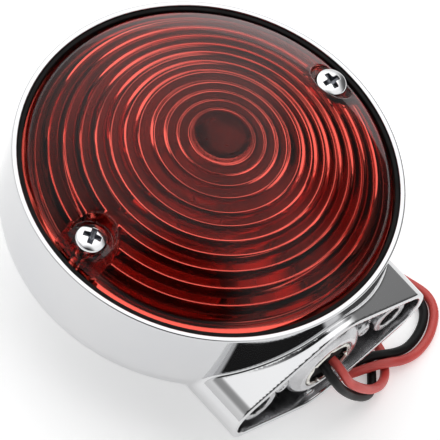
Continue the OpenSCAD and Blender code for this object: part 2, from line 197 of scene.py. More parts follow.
def net(shape, axes, place, wraps=False):
    """Surface net of shape's zero surface over a grid of axis values that place() turns into x, y, z.
    With wraps the second axis closes on itself, and holes left on the axis of turning are filled."""
    u, v, w = (np.asarray(a, float) for a in axes)
    f = shape(*place(*np.meshgrid(u, v, w, indexing="ij")))
    if wraps:
        f = np.concatenate([f, f[:, :1]], axis=1)
        v = np.append(v, v[0] + 2 * math.pi)
    f = np.where(np.abs(f) < 1e-9, 1e-9, f)
    solid = f < 0
    cell = tuple(n - 1 for n in f.shape)
    near = [(i, j, k) for i in (0, 1) for j in (0, 1) for k in (0, 1)]
    corner = [solid[i:i + cell[0], j:j + cell[1], k:k + cell[2]] for i, j, k in near]
    mixed = np.any(corner, axis=0) & ~np.all(corner, axis=0)
    index = np.full(cell, -1)
    index[mixed] = np.arange(mixed.sum())
    at = np.array(np.nonzero(mixed)).T
    total, count = np.zeros((len(at), 3)), np.zeros(len(at))
    for a in near:
        for axis in range(3):
            if a[axis]:
                continue
            b = tuple(1 if i == axis else x for i, x in enumerate(a))
            ia, ib = at + a, at + b
            fa, fb = f[tuple(ia.T)], f[tuple(ib.T)]
            crossed = (fa < 0) != (fb < 0)
            t = np.where(crossed, fa / np.where(crossed, fa - fb, 1), 0)[:, None]
            pa, pb = (np.stack([g[i[:, n]] for n, g in enumerate((u, v, w))], 1) for i in (ia, ib))
            total += np.where(crossed[:, None], pa + t * (pb - pa), 0)
            count += crossed
    points = np.stack(place(*(total / count[:, None]).T), 1)
    weakest, longest = 0.05, 0.3
    for _ in range(5):
        g = gradient(shape, points)
        step = (shape(*points.T) / np.maximum((g * g).sum(1), weakest))[:, None] * g
        size = np.linalg.norm(step, axis=1, keepdims=True)
        points = points - step * np.minimum(1, longest / np.maximum(size, 1e-9))
    normals = gradient(shape, points)
    normals /= np.maximum(np.linalg.norm(normals, axis=1, keepdims=True), 1e-9)
    faces = []
    for axis in range(3):
        n = [slice(None)] * 3
        lo, hi = n.copy(), n.copy()
        lo[axis], hi[axis] = slice(0, -1), slice(1, None)
        change = solid[tuple(lo)] != solid[tuple(hi)]
        b, c = [i for i in range(3) if i != axis]
        e = np.array(np.nonzero(change)).T
        inner = np.ones(len(e), bool)
        for other in (b, c):
            if wraps and other == 1:
                inner &= e[:, 1] < cell[1]
            else:
                inner &= (e[:, other] > 0) & (e[:, other] < cell[other])
        e = e[inner]
        quad = []
        for db, dc in ((1, 1), (0, 1), (0, 0), (1, 0)):
            i = e.copy()
            i[:, b] -= db
            i[:, c] -= dc
            if wraps:
                i[:, 1] %= cell[1]
            quad.append(index[tuple(i.T)])
        faces.append(np.stack(quad, 1))
    faces = np.concatenate(faces)
    faces = faces[(faces >= 0).all(1)]
    corners = points[faces]
    facing = np.cross(corners[:, 2] - corners[:, 0], corners[:, 3] - corners[:, 1])
    flip = (facing * normals[faces].mean(1)).sum(1) < 0
    faces[flip] = faces[flip][:, ::-1]
    faces = faces.tolist()
    if wraps:
        pole = np.nonzero(mixed[0].all(axis=0) & (solid[0, 0, :-1] != solid[0, 0, 1:]))[0]
        for k in pole:
            ring = index[0, :, k]
            ring = ring if (normals[ring[0], 2] > 0) else ring[::-1]
            faces.append(ring.tolist())
    return points, faces, normals


def turned(u, v, w):
    """Radius, angle and height as x, y, z."""
    return u * np.cos(v), u * np.sin(v), w


def plain(u, v, w):
    return u, v, w


def spread(*stops):
    """Axis values: (start, step), ..., end; each step holds until the next start."""
    values = []
    for (start, step), nxt in zip(stops[:-1], stops[1:]):
        end = nxt[0] if isinstance(nxt, tuple) else nxt
        n = max(1, round((end - start) / step))
        values += [start + (end - start) * i / n for i in range(n)]
    return values + [stops[-1]]


def union(a, b, r=0.0):
    """Either of two solids, with a fillet of radius r in the corner between them."""
    if r == 0:
        return np.minimum(a, b)
    return np.maximum(r, np.minimum(a, b)) - np.hypot(np.maximum(r - a, 0), np.maximum(r - b, 0))


def both(a, b, r=0.0):
    """What two solids share, with its edge rounded to radius r."""
    if r == 0:
        return np.maximum(a, b)
    return np.minimum(-r, np.maximum(a, b)) + np.hypot(np.maximum(r + a, 0), np.maximum(r + b, 0))


def minus(a, b, r=0.0):
    """The first solid without the second, with the edge rounded to radius r."""
    return both(a, -b, r)


def block(x, y, z, low, high, r=0.0):
    """Distance to a box from corner low to corner high, with edges of radius r."""
    d = [np.maximum(low[i] - c, c - high[i]) + r for i, c in enumerate((x, y, z))]
    out = np.sqrt(sum(np.maximum(c, 0) ** 2 for c in d))
    return out + np.minimum(np.maximum(np.maximum(d[0], d[1]), d[2]), 0) - r


def lathe(name, profile, turns=96, along="Z", x=0.0, loop=True):
    """A turned mesh from (radius, height) points; along "foot" it lies along -Y on the foot's centre."""
    points, faces = [], []
    for r, h in profile:
        for k in range(turns):
            a = 2 * math.pi * k / turns
            c, s = r * math.cos(a), r * math.sin(a)
            points.append((x + c, s, h) if along == "Z" else (x + c, -h, FOOT_Z + s))
    rows = len(profile)
    for i in range(rows if loop else rows - 1):
        j = (i + 1) % rows
        for k in range(turns):
            n = (k + 1) % turns
            faces.append((i * turns + k, i * turns + n, j * turns + n, j * turns + k))
    made = add_mesh(name, points, faces)
    weld(made)
    return made


def weld(made, distance=1e-6):
    """Joins points that share a place, drops empty faces and turns the rest outwards."""
    work = bmesh.new()
    work.from_mesh(made.data)
    bmesh.ops.remove_doubles(work, verts=work.verts, dist=distance)
    bmesh.ops.dissolve_degenerate(work, dist=distance * 0.5, edges=work.edges)
    bmesh.ops.recalc_face_normals(work, faces=work.faces)
    work.to_mesh(made.data)
    work.free()


def arc(centre, r, start, end, n=8):
    """Points (radius, height) of an arc, angles in degrees."""
    turns = [math.radians(start + (end - start) * i / n) for i in range(n + 1)]
    return [(centre[0] + r * math.cos(a), centre[1] + r * math.sin(a)) for a in turns]


def tube_mesh(name, path, r, sides=12):
    """A closed round tube along a path of points, with slightly rounded ends."""
    p = np.asarray(path, float)
    t = np.gradient(p, axis=0)
    t /= np.linalg.norm(t, axis=1, keepdims=True)
    up = np.array([0, 0, 1.0]) if abs(t[0][2]) < 0.9 else np.array([1.0, 0, 0])
    s = np.cross(t[0], up)
    rings = []
    for i, tangent in enumerate(t):
        s = s - tangent * s.dot(tangent)
        s /= np.linalg.norm(s)
        u = np.cross(tangent, s)
        rings.append((p[i], s.copy(), u, tangent))
    points, faces = [], []
    along = [(ring, 0, (1,)) for ring in rings]
    sections = [(rings[0], -1, (0.5, 0.9)), *along, (rings[-1], 1, (0.9, 0.5))]
    rows = []
    for (centre, s, u, tangent), way, sizes in sections:
        for size in sizes:
            c = centre + tangent * way * r * 0.5 * math.sqrt(1 - size * size)
            rows.append(len(points))
            for k in range(sides):
                a = 2 * math.pi * k / sides
                points.append(c + r * size * (math.cos(a) * s + math.sin(a) * u))
    for a, b in zip(rows[:-1], rows[1:]):
        for k in range(sides):
            n = (k + 1) % sides
            faces.append((a + k, a + n, b + n, b + k))
    faces.append(tuple(range(sides))[::-1])
    faces.append(tuple(rows[-1] + k for k in range(sides)))
    return add_mesh(name, points, faces, sharp=60)


# ---------------------------------------------------------------- leads: the CAD model's routes and tails
RED_ROUTE = [
    (2.4, -41.2, 18.6), (2.4, -43.4, 18.6), (2.5, -44.9, 18.4), (2.7, -46.2, 17.8), (3.2, -47.5, 16.5),
    (4.4, -48.7, 14), (6.3, -49.7, 11.8), (8.9, -50.3, 9), (12, -50.5, 6), (15.2, -50.2, 3.7),
    (18, -49.2, 2), (20, -47.8, 1.2), (21.4, -46, 1.1), (22.8, -43.9, 1.1), (23.4, -41, 1.1),
    (22.8, -36.8, 1.1), (20.4, -33.2, 1.1), (16.4, -31.6, 1.1), (12.3, -32.4, 1.1), (9.2, -35.2, 1.1),
    (8.6, -39.3, 1.2), (10.2, -42.5, 1.9), (13.1, -44.2, 2.8), (16, -45.2, 3.3), (18.6, -46.1, 3.5),
    (21.4, -47.2, 3.4), (24.4, -48, 2.4), (27.8, -48.3, 1.5), (31, -47.9, 1.1), (34.2, -46.9, 1.1),
    (37, -45.3, 1.1), (39.2, -43.5, 1.1), (40.6, -41.6, 1.1), (41.3, -39.5, 1.1), (41.2, -37.2, 1.1),
    (39.9, -33, 1.1), (37.9, -26.8, 1.1), (36.7, -19, 1.1), (36.3, -8, 1.1), (36.5, 8, 1.1)
]
BLACK_ROUTE = [
    (-0.5, -41.2, 19.2), (-0.5, -43.2, 19.2), (-0.5, -44.8, 18.9), (-0.3, -46.2, 18.1), (0.4, -47.5, 16.6),
    (2.2, -48.6, 13.4), (5, -49.3, 9.5), (7.8, -49.8, 6.2), (10.6, -50.1, 3.6), (13, -49.8, 1.9),
    (15, -48.8, 1.2), (16.7, -47.1, 1.1), (18.4, -45, 1.1), (19.9, -42.4, 1.1), (20.6, -39.4, 1.1),
    (19.6, -36, 1.1), (16.4, -33.9, 1.1), (13.3, -34.4, 1.1), (11, -38.2, 1.1), (11.7, -40.7, 1.8),
    (14.4, -42.4, 2.8), (16.7, -43, 3.3), (19.2, -43.8, 3.5), (21.9, -45, 3.4), (24.8, -45.8, 2.5),
    (28.1, -46, 1.5), (31.4, -45.4, 1.1), (34.4, -44.2, 1.1), (36.8, -42.6, 1.1), (38.4, -40.7, 1.1),
    (39, -38.6, 1.1), (38.4, -36.1, 1.1), (35.9, -28, 1.1), (34.5, -19, 1.1), (34.1, -8, 1.1),
    (34.3, 9, 1.1)
]
RED_TAIL = [(36.6, 21, 5.6), (36.5, 25, 5.2), (36.2, 28, 3.6), (35.9, 31, 2.1), (35.6, 33, 2)]
BLACK_TAIL = [(34.2, 21, 5.6), (33.6, 25, 3.6), (32.4, 29, 2), (31.2, 32, 2)]


def eased(t):
    t = min(1.0, max(0.0, t))
    return t * t * (3 - 2 * t)


def coil_turns(r, turns=2, steps=48):
    """Turns of the coil, clockwise from its left side: each climbs over the lead that comes in, and
    lifts a little at the tie."""
    climb_from, climb_part = 0.58, 0.27
    lift_at, lift_part, lift_height = 0.5, 0.09, 0.5
    points = []
    for i in range(1, turns * steps):
        t = i / steps
        a = math.pi - 2 * math.pi * t
        climb = sum(eased((t - n - climb_from) / climb_part) for n in range(turns))
        lift = lift_height * math.exp(-(((t % 1) - lift_at) / lift_part) ** 2)
        height = LEAD_Z + LEAD_LAYER * climb + lift
        points.append((COIL_C[0] + r * math.cos(a), COIL_C[1] + r * math.sin(a), height))
    return points


def smooth(points, steps=6):
    """Catmull-Rom curve through points."""
    p = np.asarray([points[0], *points, points[-1]], float)
    out = []
    for a, b, c, d in zip(p[:-3], p[1:-2], p[2:-1], p[3:]):
        for i in range(steps):
            t = i / steps
            square, cube = 2 * a - 5 * b + 4 * c - d, 3 * b - a - 3 * c + d
            out.append(0.5 * (2 * b + (c - a) * t + square * t**2 + cube * t**3))
    return np.array([*out, p[-2]])


def lead_path(route, r, tail):
    """Centre line of one lead, from its hole in the grommet to its terminal."""
    left = COIL_C[0] - r
    way_in = smooth([*route, (left, COIL_C[1] - 2, LEAD_Z)])
    way_out = smooth([(left, COIL_C[1] + 0.5, 5.6), *tail])
    return np.concatenate([way_in, coil_turns(r), way_out])


# ---------------------------------------------------------------- materials
RANGE_SOCKETS = ("From Min", "From Max", "To Min", "To Max")


class Finish:
    """A Principled material whose nodes are added one at a time."""

    def __init__(self, name, color, metallic=0.0, roughness=0.4, **sockets):
        self.material = bpy.data.materials.new(name)
        self.material.use_nodes = True
        self.nodes, self.links = self.material.node_tree.nodes, self.material.node_tree.links
        self.shader = self.nodes["Principled BSDF"]
        self.set("Base Color", (*color, 1))
        self.set("Metallic", metallic)
        self.set("Roughness", roughness)
        for socket, value in sockets.items():
            self.set(socket.replace("_", " "), value)
        self.place = self.nodes.new("ShaderNodeTexCoord").outputs["Object"]

    def set(self, socket, value):
        self.shader.inputs[socket].default_value = value

    def noise(self, scale, detail=4.0, rough=0.5, stretch=None):
        node = self.nodes.new("ShaderNodeTexNoise")
        node.inputs["Scale"].default_value = scale
        node.inputs["Detail"].default_value = detail
        node.inputs["Roughness"].default_value = rough
        place = self.place
        if stretch:
            mapping = self.nodes.new("ShaderNodeMapping")
            mapping.inputs["Scale"].default_value = stretch
            self.links.new(place, mapping.inputs["Vector"])
            place = mapping.outputs["Vector"]
        self.links.new(place, node.inputs["Vector"])
        return node.outputs["Fac"]

    def ramp(self, value, low, high, out_low, out_high):
        node = self.nodes.new("ShaderNodeMapRange")
        for socket, x in zip(RANGE_SOCKETS, (low, high, out_low, out_high)):
            node.inputs[socket].default_value = x
        self.links.new(value, node.inputs["Value"])
        return node.outputs["Result"]

    def shades(self, value, low, high, *colors):
        """Colour from a value: the colours are spread evenly between low and high."""
        node = self.nodes.new("ShaderNodeValToRGB")
        ramp = node.color_ramp
        while len(ramp.elements) < len(colors):
            ramp.elements.new(0.5)
        for i, (element, color) in enumerate(zip(ramp.elements, colors)):
            element.position = low + (high - low) * i / (len(colors) - 1)
            element.color = (*color, 1)
        self.links.new(value, node.inputs["Fac"])
        self.links.new(node.outputs["Color"], self.shader.inputs["Base Color"])
        return self

    def rough(self, value, low, high, out_low, out_high):
        self.links.new(self.ramp(value, low, high, out_low, out_high), self.shader.inputs["Roughness"])
        return self

    def bump(self, value, depth_mm, strength=1.0):
        node = self.nodes.new("ShaderNodeBump")
        node.inputs["Strength"].default_value = strength
        node.inputs["Distance"].default_value = depth_mm * MM
        self.links.new(value, node.inputs["Height"])
        self.links.new(node.outputs["Normal"], self.shader.inputs["Normal"])
        return self


def chrome_casting():
    """Polished chrome plate with faint changes of shine and tone."""
    f = Finish("chrome_casting", (0.61, 0.615, 0.625), 1.0, 0.06)
    f.rough(f.noise(60), 0.35, 0.75, 0.045, 0.075)
    f.shades(f.noise(35, 3), 0.3, 0.7, (0.59, 0.595, 0.61), (0.63, 0.63, 0.635))
    return f


def cast_inside(name, level):
    """Dull cast skin of the hollow foot and the lamp chamber; level is how bright it is, and the chamber's
    low level is painted shade.
    """
    f = Finish(name, (level, level, level), 1.0, 0.2)
    f.rough(f.noise(260, 5), 0.3, 0.7, 0.14, 0.3)
    tones = [(k * level, k * level, k * level * 1.02) for k in (0.82, 1.0, 1.18)]
    f.shades(f.noise(180, 5, 0.6), 0.3, 0.7, *tones)
    f.bump(f.noise(900, 4, 0.6), 0.03, 0.4)
    return f


def red_lens(name, polished, dull, glare):
    """Clear red plastic: the moulded prisms inside are a little duller than the polished outside.
    Its roughness goes from polished to dull, and glare is the tint of its reflections."""
    f = Finish(name, (0.66, 0.088, 0.066), 0.0, dull, IOR=1.49, Transmission_Weight=1.0)
    f.set("Specular Tint", (glare, glare, glare, 1))
    f.rough(f.noise(90), 0.3, 0.75, polished, dull)
    f.shades(f.noise(14, 2), 0.3, 0.7, (0.64, 0.08, 0.06), (0.68, 0.095, 0.07))
    return f


def black_rubber():
    f = Finish("black_rubber", (0.006, 0.006, 0.006), 0.0, 0.6, Specular_IOR_Level=0.12)
    f.rough(f.noise(300, 5), 0.3, 0.7, 0.5, 0.75)
    f.shades(f.noise(120, 4), 0.3, 0.7, (0.004, 0.004, 0.004), (0.009, 0.0085, 0.0085))
    f.bump(f.noise(1500, 3), 0.02, 0.5)
    return f


def chrome_screw():
    f = Finish("chrome_screw", (0.74, 0.74, 0.75), 1.0, 0.1)
    f.rough(f.noise(400, 4), 0.3, 0.7, 0.06, 0.16)
    f.shades(f.noise(300, 3), 0.3, 0.7, (0.7, 0.7, 0.72), (0.78, 0.78, 0.78))
    return f


def screw_recess_painted_shade():
    """Dark colour down in the cross recess: painted shade."""
    f = Finish("screw_recess_painted_shade", (0.16, 0.165, 0.18), 1.0, 0.3)
    f.rough(f.noise(500, 4), 0.3, 0.7, 0.2, 0.4)
    f.shades(f.noise(700, 4), 0.3, 0.7, (0.1, 0.105, 0.12), (0.26, 0.27, 0.3))
    return f


def plated_steel():
    f = Finish("plated_steel", (0.66, 0.65, 0.6), 1.0, 0.28)
    f.rough(f.noise(200, 5), 0.3, 0.7, 0.18, 0.38)
    f.shades(f.noise(90, 4), 0.25, 0.75, (0.55, 0.54, 0.5), (0.68, 0.67, 0.62), (0.74, 0.72, 0.66))
    f.bump(f.noise(600, 4), 0.01, 0.4)
    return f


def brown_fibre():
    f = Finish("brown_fibre", (0.25, 0.1, 0.045), 0.0, 0.55)
    f.rough(f.noise(500, 4), 0.3, 0.7, 0.45, 0.7)
    f.shades(f.noise(350, 6, 0.7, (1, 6, 1)), 0.3, 0.7, (0.16, 0.06, 0.025), (0.3, 0.13, 0.06))
    f.bump(f.noise(900, 5), 0.02, 0.6)
    return f


def brass():
    f = Finish("brass", (0.78, 0.56, 0.24), 1.0, 0.22)
    f.rough(f.noise(250, 5), 0.3, 0.7, 0.14, 0.32)
    f.shades(f.noise(120, 4), 0.3, 0.7, (0.62, 0.42, 0.17), (0.8, 0.6, 0.28))
    f.bump(f.noise(900, 3), 0.008, 0.4)
    return f


def clear_glass():
    f = Finish("clear_glass", (0.96, 0.98, 0.98), 0.0, 0.0, IOR=1.5, Transmission_Weight=1.0)
    f.rough(f.noise(80), 0.4, 0.8, 0.0, 0.02)
    return f


def black_glass():
    f = Finish("black_glass", (0.01, 0.01, 0.014), 0.0, 0.12, Coat_Weight=0.5)
    f.rough(f.noise(300, 4), 0.3, 0.7, 0.08, 0.25)
    f.shades(f.noise(200, 4), 0.3, 0.7, (0.008, 0.008, 0.012), (0.03, 0.028, 0.04))
    return f


def solder():
    f = Finish("solder", (0.6, 0.6, 0.62), 1.0, 0.35)
    f.rough(f.noise(900, 5), 0.3, 0.7, 0.22, 0.5)
    f.shades(f.noise(500, 4), 0.3, 0.7, (0.45, 0.45, 0.47), (0.68, 0.68, 0.69))
    f.bump(f.noise(700, 4), 0.03, 0.6)
    return f


def tungsten():
    f = Finish("tungsten", (0.3, 0.3, 0.32), 1.0, 0.4)
    f.rough(f.noise(2000, 3), 0.3, 0.7, 0.3, 0.55)
    f.shades(f.noise(1500, 3), 0.3, 0.7, (0.22, 0.22, 0.24), (0.38, 0.38, 0.4))
    return f


def insulation(name, dark, light, shine):
    f = Finish(name, light, 0.0, 0.42, Specular_IOR_Level=shine)
    f.rough(f.noise(250, 5), 0.3, 0.7, 0.34, 0.5)
    f.shades(f.noise(160, 4, 0.6), 0.3, 0.7, dark, light)
    f.bump(f.noise(1200, 3), 0.015, 0.4)
    return f


def nylon():
    f = Finish("nylon", (0.8, 0.79, 0.73), 0.0, 0.4, Subsurface_Weight=0.2)
    f.set("Subsurface Radius", (0.002, 0.0015, 0.001))
    f.rough(f.noise(300, 4), 0.3, 0.7, 0.32, 0.5)
    f.shades(f.noise(150, 4), 0.3, 0.7, (0.74, 0.73, 0.67), (0.83, 0.82, 0.77))
    return f


def floor_paper():
    f = Finish("floor_paper", (0.9, 0.9, 0.9), 0.0, 0.7, Specular_IOR_Level=0.2, Emission_Strength=0.33)
    f.set("Emission Color", (1, 1, 1, 1))
    f.shades(f.noise(6, 3), 0.3, 0.7, (0.895, 0.895, 0.895), (0.905, 0.905, 0.905))
    return f


RED_PVC = ((0.52, 0.05, 0.045), (0.66, 0.08, 0.065))
BLACK_PVC = ((0.005, 0.005, 0.005), (0.01, 0.01, 0.01))
FINISH = {
    "chrome_casting": chrome_casting().material,
    "cast_foot": cast_inside("chrome_cast_foot", 0.5).material,
    # The lamp chamber's skin is set darker than the foot's: painted shade in the closed chamber
    "lamp_painted_shade": cast_inside("chrome_cast_painted_shade", 0.25).material,
    "red_lens": red_lens("red_lens", 0.015, 0.045, 0.3).material,
    "red_prisms": red_lens("red_lens_prisms", 0.02, 0.05, 1).material,
    "black_rubber": black_rubber().material,
    "chrome_screw": chrome_screw().material,
    # The screws' dark recess finish is painted shade
    "screw_recess_painted_shade": screw_recess_painted_shade().material,
    "plated_steel": plated_steel().material,
    "brown_fibre": brown_fibre().material,
    "brass": brass().material,
    "clear_glass": clear_glass().material,
    "black_glass": black_glass().material,
    "solder": solder().material,
    "tungsten": tungsten().material,
    "red_insulation": insulation("red_insulation", *RED_PVC, 0.5).material,
    "black_insulation": insulation("black_insulation", *BLACK_PVC, 0.15).material,
    "nylon": nylon().material,
}


# ---------------------------------------------------------------- housing
def body_side(q, z, inset=0.0):
    """Distance to the side wall, its rounded edge and the back cone, set in by inset."""
    px, pz = q - EDGE_AT[0], z - EDGE_AT[1]
    run, drop = EDGE_AT[0] - BACK_FLAT_R, EDGE_AT[1]
    reach = math.hypot(run, drop)
    lean = math.atan2(drop, run) - math.asin(EDGE_R / reach)
    nx, nz = math.sin(lean), -math.cos(lean)
    wedge = (pz <= 0) & (px * math.cos(lean) + pz * math.sin(lean) >= 0)
    d = np.where(wedge, np.hypot(px, pz), np.maximum(px, px * nx + pz * nz))
    return d - EDGE_R + inset


def foot_outline(x, z):
    """Distance to the foot's rounded diamond outline in its own plane."""
    dx, dz = -TIP_X, CREST_Z
    reach = math.hypot(dx, dz)
    s = (TIP_R - CREST_R) / reach
    k = math.sqrt(1 - s * s)
    nx, nz = dx / reach * s + dz / reach * k, dz / reach * s - dx / reach * k
    ax, az = np.abs(x), np.abs(z - FOOT_Z)
    along = -(ax - TIP_X) * nz + az * nx
    tip = np.hypot(ax - TIP_X, az) - TIP_R
    crest = np.hypot(ax, az - CREST_Z) - CREST_R
    flank = (ax - TIP_X) * nx + az * nz - TIP_R
    return np.where(along < 0, tip, np.where(along > reach * k, crest, flank))


def cast_skin(x, y, z):
    """Low lumps of an unpolished casting."""
    broad = np.sin(1.1 * x + 0.6 * z) * np.sin(0.9 * z - 0.5 * y + 1.3)
    return 0.12 * (broad + 0.6 * np.sin(1.7 * y + 0.8 * x + 2.0) * np.sin(1.5 * z + 0.4 * x))


def foot_bosses(x, y, z):
    """Socket boss with its rounded front, mount bosses, and low webs with a dimpled pad on each side."""
    ax, up = np.abs(x), z - FOOT_Z
    boss = both(both(np.hypot(x, up) - BOSS_R, -y - BOSS_FRONT, BOSS_ROUND), y + 33)
    mount = both(both(np.hypot(ax - MOUNT_X, up) - MOUNT_BOSS_R, -y - MOUNT_FACE, 0.35), y + 31)
    web = block(ax, y, up, (8.9, -41.8, -0.8), (14.9, -36, 0.8), 0.3)
    crest = block(x, y, np.abs(up), (-0.8, -43, 9.3), (0.8, -37, 14.1), 0.3)
    pad = both(both(np.hypot(ax - PAD_X, up) - PAD_R, -y - PAD_TOP, 1.3), y + 34)
    return union(union(boss, mount), union(union(web, crest), pad, 0.4), 0.5)


def foot_bores(x, y, z):
    """Stepped bore of the socket, the mounting holes and the pads' dimples."""
    ax, side = np.abs(x), np.hypot(x, z - FOOT_Z)
    socket = both(both(side - SOCKET_R - 0.05, y + BORE_START), -y - SOCKET_END - 0.05)
    front = both(side - FRONT_HOLE_R, y + 40)
    hole = both(np.hypot(ax - MOUNT_X, z - FOOT_Z) - MOUNT_HOLE_R, y + 33.2)
    dimple = np.sqrt((ax - PAD_X) ** 2 + (z - FOOT_Z) ** 2 + (y + 43.3) ** 2) - 0.95
    return union(union(socket, front), union(hole, dimple))


def housing_shape(x, y, z):
    """Bowl and hollow foot in one casting, with the lamp chamber, bosses, bores and screw pilots."""
    q = np.hypot(x, y)
    outer = both(both(body_side(q, z), -z, 1.0), z - LIP_Z, 0.4)
    outline = foot_outline(x, z)
    foot = both(both(outline, -y - FOOT_Y, 0.45), y + 15)
    shell = union(outer, foot, 0.5)
    skin = cast_skin(x, y, z)
    hollow = both(both(outline + FOOT_WALL, y + 15), -outer + skin, 1.6)
    shell = minus(shell, hollow, 0.4)
    # Lamp chamber with a 45-degree cone under its ledge, then the ledge's neck and the gasket's rebate
    to_screw = np.hypot(np.abs(x) - SCREW_X, y)
    cone = (q - CONE_R + z - CONE_Z) / math.sqrt(2)
    low = both(both(body_side(q, z, WALL), WALL - 0.2 - z + skin * 0.5, 1.5), cone)
    neck = both(q - LEDGE_R, 25 - z)
    rebate = both(q - GASKET_R, LEDGE_Z - z)
    screw_boss = both(to_screw - SCREW_BOSS_R, z - LEDGE_Z - 0.7, 0.3)
    chamber = union(union(low, neck, 0.3), rebate, 0.2)
    chamber = minus(chamber, screw_boss, 0.4)
    shell = minus(shell, chamber, 0.25)
    shell = union(shell, foot_bosses(x, y, z), 0.8)
    shell = minus(shell, foot_bores(x, y, z), 0.3)
    pilot = both(to_screw - PILOT_R, PILOT_END_Z - z)
    return minus(shell, pilot, 0.15)


def angles(fine, step, *centres, reach):
    """Angles round a full turn, in radians: fine within reach of each centre, step degrees elsewhere."""
    values, a = [], -90.0
    while a < 270 - 1e-6:
        values.append(math.radians(a))
        gap = min(abs((a - c + 180) % 360 - 180) - r for c, r in zip(centres, reach))
        a += fine if gap < 0 else min(step, max(fine, gap * 0.3))
    last = math.degrees(values[-1])
    if 270 - last < fine * 0.6:
        values.pop()
    return values


def make_housing(detail):
    """The casting: chrome outside, with a dull skin in the hollow foot and a darker skin, painted shade,
    in the lamp chamber.
    """
    r_axis = spread((0.0, 1.6), (15, 0.8), (28, 0.5 * detail), (36.9, 0.3 * detail), (38.0, 0.6),
                    (40.6, 0.22), (42.8, 0.36 * detail), 56)
    z_axis = spread((-0.4, 0.3), (0.6, 0.5), (3.6, 0.4 * detail), (36, 0.3), (39.1, 0.14), 40.3)
    around = angles(0.45 * detail, 3.0, -90, 0, 180, reach=(38, 6, 6))
    points, faces, normals = net(housing_shape, (r_axis, around, z_axis), turned, wraps=True)
    made = add_mesh("housing_casting", points, faces, normals)
    dress(made, "housing", "chrome_casting", "housing")
    made.data.materials.append(FINISH["cast_foot"])
    made.data.materials.append(FINISH["lamp_painted_shade"])
    x, y, z = middles(points, faces)
    q = np.hypot(x, y)
    in_foot = (foot_outline(x, z) < -FOOT_WALL + 0.3) & (body_side(q, z) > -0.6)
    in_foot &= (y < -15) & (y > -FOOT_Y + 0.5)
    # Faces of the lamp chamber: they take the darker skin, which is painted shade
    lamp_shade_faces = (body_side(q, z) < -WALL + 0.6) & (z > 1.4) & (z < LEDGE_Z - 0.6) & (q < LEDGE_R + 3)
    number_faces(made, in_foot + 2 * lamp_shade_faces)
    return made


# ---------------------------------------------------------------- lens
# The rings lie where the CAD lens has them; their relief is deeper than its low steps
RINGS_END = 37.0
BULL_R = 6.85
BULL_DEPTH = 3
GROOVE_DEPTH = 1.35
RING_CROWN = 0.8


def inner_face(r):
    """Height of the lens's inner face: a bull's-eye, then flat-topped rings with sharp grooves between."""
    dome = DOME_C + np.sqrt((DOME_R - LENS_WALL) ** 2 - r * r)
    drop = np.where(r < RING_EDGES[0], BULL_DEPTH * np.sqrt(np.clip(1 - (r / BULL_R) ** 2, 0, 1)), 0)
    for inner, outer in zip(RING_EDGES, [*RING_EDGES[1:], RINGS_END]):
        groove = np.interp(inner, [7, 12, 20], [0.3, 0.55, 1.0])
        u = np.clip((r - inner) / (outer - inner), 0, 1)
        side = (outer - inner) * np.minimum(u, 1 - u) / groove
        drop = drop + GROOVE_DEPTH * groove * np.sin(np.clip(side, 0, 1) * 1.5) + RING_CROWN * u * (1 - u)
    return dome - drop


def lens_shape(x, y, z):
    """Domed lens with its flange, screw posts and pockets."""
    steep = 0.85  # keeps a height over the inner face's steep sides near a true distance
    q = np.hypot(x, y)
    dome = np.hypot(q, z - DOME_C) - DOME_R
    outer = both(dome, q - LENS_R, 2.0)
    inner = (inner_face(q) - z) * steep
    hollow = both(both(-inner, q - (LEDGE_R - 1), 0.6), 30 - z)
    shell = minus(both(outer, FLANGE_Z - z, 0.2), hollow, 0.15)
    ax = np.abs(x)
    reach = np.hypot(ax - SCREW_X, y)
    post = both(both(reach - POST_R, FLANGE_Z - z, 0.2), dome + 0.6)
    post = both(post, q - LEDGE_R)
    shell = union(shell, post, 0.3)
    shell = minus(shell, both(reach - POCKET_R, POCKET_Z - z, 0.3), 0.45)
    return minus(shell, reach - LENS_HOLE_R, 0.1)


def make_lens(detail):
    """The lens: polished outside, with duller prisms on its inner face."""
    stops = [(0.0, 1.2)]
    for edge in RING_EDGES:
        stops += [(edge - 0.2, 0.08 * detail), (edge + 0.2, 0.22 * detail)]
    stops += [(36.0, 0.15), (37.2, 0.3), (38.4, 0.14), 40.4]
    z_axis = spread((37.1, 0.15), (38.2, 0.2 * detail), 54.1)
    around = angles(0.5 * detail, 1.5, 0, 180, reach=(11, 11))
    points, faces, normals = net(lens_shape, (spread(*stops), around, z_axis), turned, wraps=True)
    made = dress(add_mesh("lens_dome", points, faces, normals), "lens", "red_lens", "lens")
    made.data.materials.append(FINISH["red_prisms"])
    x, y, z = middles(points, faces)
    q = np.hypot(x, y)
    inside = (q < LEDGE_R - 1.2) & (z < DOME_C + np.sqrt(DOME_R**2 - q * q) - 1.5)
    number_faces(made, inside)
    return made


def make_gasket():
    """Rubber ring of L section, under and round the lens."""
    top_z, r0, r1, r2 = LIP_Z - 0.3, GASKET_IN, LENS_R + 0.1, GASKET_R - 0.03
    seat_z = FLANGE_Z - 0.08
    outer_edge = arc((r2 - 0.3, top_z - 0.3), 0.3, 0, 90, 5)
    inner_edge = arc((r1 + 0.25, top_z - 0.25), 0.25, 90, 180, 5)
    profile = [(r0, LEDGE_Z), (r2, LEDGE_Z), *outer_edge, *inner_edge, (r1, seat_z), (r0, seat_z)]
    made = lathe("gasket_ring", profile, turns=160)
    return dress(made, "housing", "black_rubber", "lens_gasket")


# ---------------------------------------------------------------- screws
CROWN_R = 7.1
CROWN_DROP = 4.9
SHANK_R = 1.75
SHANK_END_Z = 22.4
THREAD_TOP_Z = 38


def recess_shape(q, u, v, h):
    """Cross recess: four tapering arms round a deeper pit."""
    u, v = np.abs(u), np.abs(v)
    reach, wing = 1.95, 0.36 + 0.1 * h
    arms = union(both(u - reach, v - wing, 0.1), both(v - reach, u - wing, 0.1), 0.3)
    return both(arms, 0.35 + 0.5 * q - h, 0.1)


